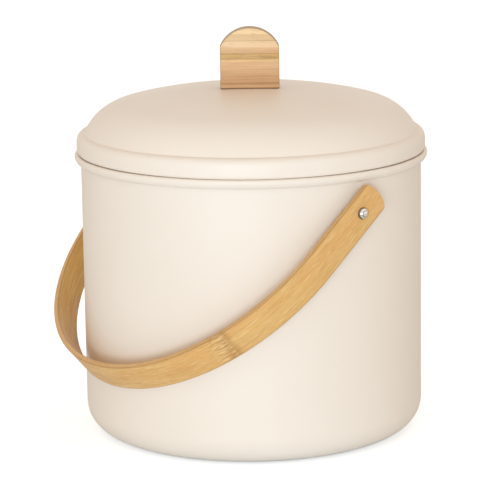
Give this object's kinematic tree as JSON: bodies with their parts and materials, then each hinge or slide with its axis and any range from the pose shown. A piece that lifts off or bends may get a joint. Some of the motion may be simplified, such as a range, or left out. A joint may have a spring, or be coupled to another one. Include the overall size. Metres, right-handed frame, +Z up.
{
  "type": "compost bin",
  "caption": "Lidded round kitchen compost pail with a bent strip bail, an arched knob on its domed lid, a lift-out inner bucket and a charcoal filter under the lid.",
  "frame": {"origin": "centre of the pail's flat base", "axes": "+Z up, +X along the bail's pivot axis towards the rivet seen in the picture; the bail hangs towards -Y"},
  "size_m": [0.2434, 0.241, 0.2622],
  "materials": {
    "powder_coat": "matt cream powder coat on steel sheet",
    "bamboo_strip": "split bamboo strip, fine straight grain with node marks, satin lacquer",
    "laminated_bamboo": "laminated bamboo board, sanded and oiled",
    "bright_steel": "bright plated steel",
    "bucket_plastic": "moulded polypropylene, fine texture",
    "filter_plastic": "moulded polypropylene, fine texture",
    "silicone": "matt silicone",
    "charcoal_felt": "activated charcoal felt"
  },
  "bodies": {
    "pail": {"pail_shell": "powder_coat", "rivet_right": "bright_steel", "rivet_left": "bright_steel", "spacer_right": "bright_steel", "spacer_left": "bright_steel", "rivet_burr_right": "bright_steel", "rivet_burr_left": "bright_steel"},
    "bail": {"bail_strip": "bamboo_strip"},
    "bucket": {"inner_bucket": "bucket_plastic"},
    "lid": {"lid_shell": "powder_coat", "lid_collar": "powder_coat", "seal_ring": "silicone", "lid_knob": "laminated_bamboo", "knob_screw_1": "bright_steel", "knob_screw_2": "bright_steel", "knob_washer_1": "bright_steel", "knob_washer_2": "bright_steel", "filter_holder": "filter_plastic", "charcoal_filter": "charcoal_felt"},
    "cover": {"filter_cover": "filter_plastic"}
  },
  "joints": [
    {"name": "bail_swing", "type": "hinge", "parent": "pail", "child": "bail", "pos_m": [0, 0, 0.1585], "axis": [-1, 0, 0], "range_deg": [0, 262.5]},
    {"name": "bucket_lift", "type": "slide", "parent": "pail", "child": "bucket", "axis": [0, 0, 1], "range_m": [0, 0.2]},
    {"name": "lid_lift", "type": "slide", "parent": "bucket", "child": "lid", "axis": [0, 0, 1], "range_m": [0, 0.12]},
    {"name": "cover_twist", "type": "hinge", "parent": "lid", "child": "cover", "pos_m": [0, 0, 0.2], "axis": [0, 0, 1], "range_deg": [0, 22]}
  ]
}
